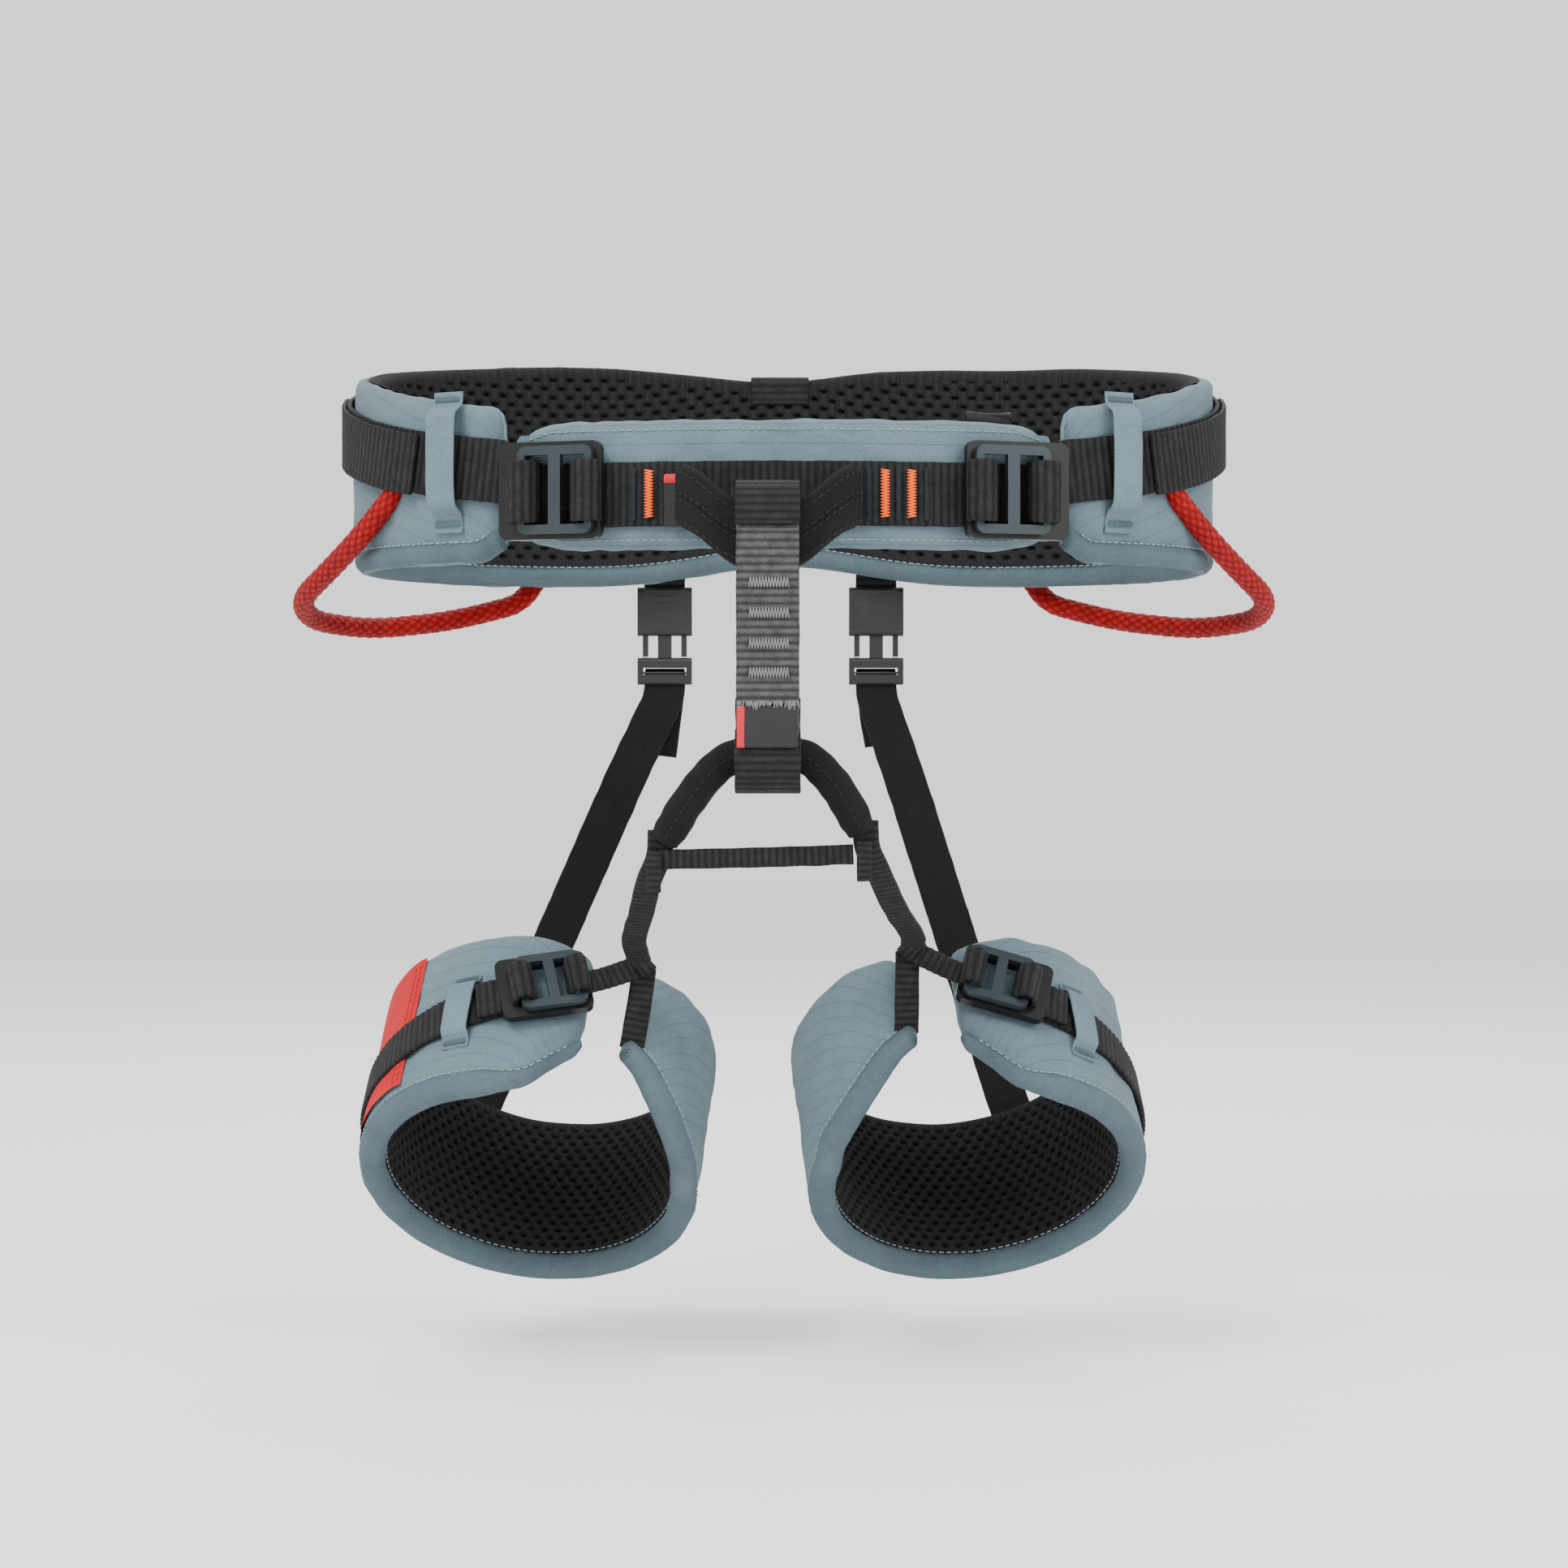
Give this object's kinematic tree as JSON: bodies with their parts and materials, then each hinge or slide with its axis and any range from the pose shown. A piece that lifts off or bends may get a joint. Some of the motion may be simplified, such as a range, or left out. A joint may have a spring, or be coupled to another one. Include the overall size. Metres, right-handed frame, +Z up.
{
  "type": "climbing harness",
  "caption": "Sit harness with a padded waist belt, padded leg loops, tie-in points, a belay loop, sliding buckles, elastic risers and gear loops.",
  "frame": {"origin": "centre of the waist opening", "axes": "+X to the right as seen from the front, +Y to the rear, +Z up"},
  "size_m": [0.3364, 0.2282, 0.3242],
  "materials": {
    "spacer_mesh": "black spacer mesh with staggered holes",
    "foam": "closed-cell foam, hidden",
    "blue_grey_fabric": "matt ripstop",
    "grey_elastic": "woven elastic",
    "webbing": "ribbed nylon webbing",
    "tie_in_sleeve": "tubular woven sleeve",
    "belay_webbing": "ribbed nylon webbing, grey",
    "black_aluminium": "gloss black anodised",
    "grey_aluminium": "satin blue-grey anodised",
    "black_elastic": "woven elastic",
    "black_plastic": "moulded acetal",
    "red_cord": "braided tube over a plastic core",
    "red_fabric": "red woven panel"
  },
  "bodies": {
    "root": {"belt_lining": "spacer_mesh", "belt_foam": "foam", "belt_shell": "blue_grey_fabric", "belt_lower_binding": "blue_grey_fabric", "front_pad_lining": "spacer_mesh", "front_pad_shell": "blue_grey_fabric", "waist_webbing_left": "webbing", "waist_webbing_right": "webbing", "front_webbing": "webbing", "waist_keeper_left": "grey_elastic", "waist_keeper_right": "grey_elastic", "waist_buckle_left": "black_aluminium", "waist_buckle_right": "black_aluminium", "upper_tie_in_sleeve": "tie_in_sleeve", "upper_tie_in_webbing": "webbing", "male_buckle_left": "black_plastic", "male_buckle_right": "black_plastic"},
    "belay": {"belay_loop": "belay_webbing"},
    "leg_frame": {"lower_tie_in_sleeve": "tie_in_sleeve", "lower_tie_in_webbing": "webbing", "cross_strap": "webbing", "leg_strap_left": "webbing", "leg_strap_right": "webbing"},
    "waist_adjuster_left": {"waist_plate_left": "grey_aluminium", "waist_wrap_left": "webbing"},
    "leg_left": {"leg_lining_left": "spacer_mesh", "leg_foam_left": "foam", "leg_shell_left": "blue_grey_fabric", "leg_binding_left": "blue_grey_fabric", "leg_webbing_left": "webbing", "leg_keeper_left": "grey_elastic", "leg_buckle_left": "black_aluminium", "leg_branch_left": "webbing", "riser_left": "black_elastic", "red_panel": "red_fabric"},
    "leg_adjuster_left": {"leg_plate_left": "grey_aluminium"},
    "female_left": {"female_buckle_left": "black_plastic", "belt_tab_left": "webbing"},
    "arm_left_outer": {"arm_left_outer": "black_plastic"},
    "arm_left_inner": {"arm_left_inner": "black_plastic"},
    "gear_left": {"gear_loop_left": "red_cord"},
    "waist_adjuster_right": {"waist_plate_right": "grey_aluminium", "waist_wrap_right": "webbing"},
    "leg_right": {"leg_lining_right": "spacer_mesh", "leg_foam_right": "foam", "leg_shell_right": "blue_grey_fabric", "leg_binding_right": "blue_grey_fabric", "leg_webbing_right": "webbing", "leg_keeper_right": "grey_elastic", "leg_buckle_right": "black_aluminium", "leg_branch_right": "webbing", "riser_right": "black_elastic"},
    "leg_adjuster_right": {"leg_plate_right": "grey_aluminium"},
    "female_right": {"female_buckle_right": "black_plastic", "belt_tab_right": "webbing"},
    "arm_right_outer": {"arm_right_outer": "black_plastic"},
    "arm_right_inner": {"arm_right_inner": "black_plastic"},
    "gear_right": {"gear_loop_right": "red_cord"}
  },
  "joints": [
    {"name": "leg_frame_swing", "type": "slide", "parent": "root", "child": "leg_frame", "axis": [0, 1, 0], "range_m": [-0.006, 0.006], "stiffness_N_per_m": 40},
    {"name": "belay_loop_swing", "type": "hinge", "parent": "root", "child": "belay", "pos_m": [-0.005, -0.1182, -0.015], "axis": [1, 0, 0], "range_deg": [-6, 6]},
    {"name": "waist_plate_left_slide", "type": "slide", "parent": "root", "child": "waist_adjuster_left", "axis": [0.9421, -0.3354, 0], "range_m": [-0.0015, 0.002]},
    {"name": "leg_left_tilt", "type": "hinge", "parent": "leg_frame", "child": "leg_left", "pos_m": [-0.04752, -0.04008, -0.15277], "axis": [1, 0, 0], "range_deg": [-6, 6], "stiffness_Nm_per_rad": 1.5, "deforming": ["riser_left"]},
    {"name": "leg_plate_left_slide", "type": "slide", "parent": "leg_left", "child": "leg_adjuster_left", "axis": [0.9767, 0.1777, 0.1202], "range_m": [-0.0015, 0.002]},
    {"name": "side_buckle_left_release", "type": "slide", "parent": "root", "child": "female_left", "axis": [0, 0, 1], "range_m": [0, 0.014]},
    {"name": "arm_left_outer_squeeze", "type": "hinge", "parent": "root", "child": "arm_left_outer", "pos_m": [-0.0511, 0.0955, -0.046], "axis": [0, 1, 0], "range_deg": [0, 8], "stiffness_Nm_per_rad": 0.05},
    {"name": "arm_left_inner_squeeze", "type": "hinge", "parent": "root", "child": "arm_left_inner", "pos_m": [-0.0369, 0.0955, -0.046], "axis": [0, 1, 0], "range_deg": [-8, 0], "stiffness_Nm_per_rad": 0.05},
    {"name": "gear_loop_left_flex", "type": "hinge", "parent": "root", "child": "gear_left", "pos_m": [-0.132, -0.049, 0], "axis": [0.3001, 0.931, -0.2077], "range_deg": [-3, 10], "stiffness_Nm_per_rad": 0.8},
    {"name": "waist_plate_right_slide", "type": "slide", "parent": "root", "child": "waist_adjuster_right", "axis": [-0.9421, -0.3354, 0], "range_m": [-0.0015, 0.002]},
    {"name": "leg_right_tilt", "type": "hinge", "parent": "leg_frame", "child": "leg_right", "pos_m": [0.04199, -0.04378, -0.14735], "axis": [1, 0, 0], "range_deg": [-6, 6], "stiffness_Nm_per_rad": 1.5, "deforming": ["riser_right"]},
    {"name": "leg_plate_right_slide", "type": "slide", "parent": "leg_right", "child": "leg_adjuster_right", "axis": [-0.9617, 0.0049, 0.274], "range_m": [-0.0015, 0.002]},
    {"name": "side_buckle_right_release", "type": "slide", "parent": "root", "child": "female_right", "axis": [0, 0, 1], "range_m": [0, 0.014]},
    {"name": "arm_right_outer_squeeze", "type": "hinge", "parent": "root", "child": "arm_right_outer", "pos_m": [0.0411, 0.0955, -0.046], "axis": [0, 1, 0], "range_deg": [-8, 0], "stiffness_Nm_per_rad": 0.05},
    {"name": "arm_right_inner_squeeze", "type": "hinge", "parent": "root", "child": "arm_right_inner", "pos_m": [0.0269, 0.0955, -0.046], "axis": [0, 1, 0], "range_deg": [0, 8], "stiffness_Nm_per_rad": 0.05},
    {"name": "gear_loop_right_flex", "type": "hinge", "parent": "root", "child": "gear_right", "pos_m": [0.132, -0.049, 0], "axis": [0.3001, -0.931, 0.2077], "range_deg": [-3, 10], "stiffness_Nm_per_rad": 0.8}
  ],
  "couplings": [
    {"joint": "belay_loop_swing", "follows": "leg_frame_swing", "rad_per_m": 14.577},
    {"joint": "arm_left_inner_squeeze", "follows": "arm_left_outer_squeeze", "ratio": -1},
    {"joint": "arm_right_inner_squeeze", "follows": "arm_right_outer_squeeze", "ratio": -1}
  ]
}
